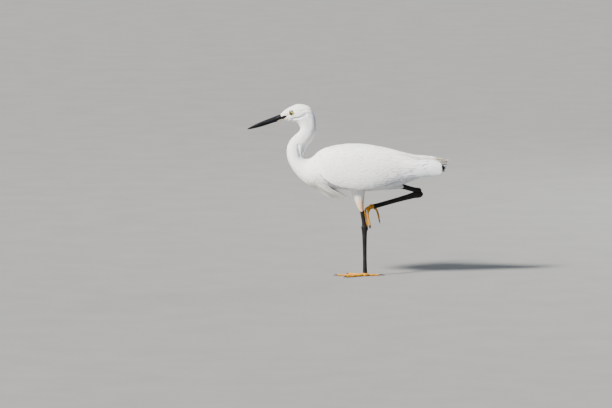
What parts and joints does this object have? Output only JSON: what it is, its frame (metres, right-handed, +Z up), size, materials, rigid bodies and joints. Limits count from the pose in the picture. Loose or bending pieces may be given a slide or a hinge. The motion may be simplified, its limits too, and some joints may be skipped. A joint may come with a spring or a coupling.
{
  "type": "little egret",
  "caption": "Slender white wading bird in mid-step on one leg, with a curved neck, a dagger bill, folded wings, black legs and yellow toes.",
  "frame": {"origin": "on the ground under the middle of the bird's box, in the plane between its left and right sides to within a few millimetres", "axes": "+Z up, -X the way the bird faces, -Y its left side"},
  "size_m": [0.429, 0.1014, 0.3703],
  "materials": {
    "plumage": "soft white feathers",
    "bill": "smooth black horn",
    "eye": "wet, pale yellow with a black pupil",
    "leg": "black scaled skin",
    "toe": "yellow scaled skin",
    "claw": "dark polished horn"
  },
  "bodies": {
    "root": {"bill_lower": "bill", "bill_upper": "bill", "claw_left_hind": "claw", "claw_left_inner": "claw", "claw_left_middle": "claw", "claw_left_outer": "claw", "claw_right_hind": "claw", "claw_right_inner": "claw", "claw_right_middle": "claw", "claw_right_outer": "claw", "eye_left": "eye", "eye_right": "eye", "foot_left": "toe", "foot_right": "toe", "head": "plumage", "neck_lower": "plumage", "neck_upper": "plumage", "shin_left": "leg", "shin_right": "leg", "tail": "plumage", "tarsus_left": "leg", "tarsus_right": "leg", "thigh_left": "plumage", "thigh_right": "plumage", "toe_left_hind": "toe", "toe_left_inner": "toe", "toe_left_middle": "toe", "toe_left_outer": "toe", "toe_right_hind": "toe", "toe_right_inner": "toe", "toe_right_middle": "toe", "toe_right_outer": "toe", "torso": "plumage", "wing_left": "plumage", "wing_right": "plumage"}
  },
  "joints": []
}
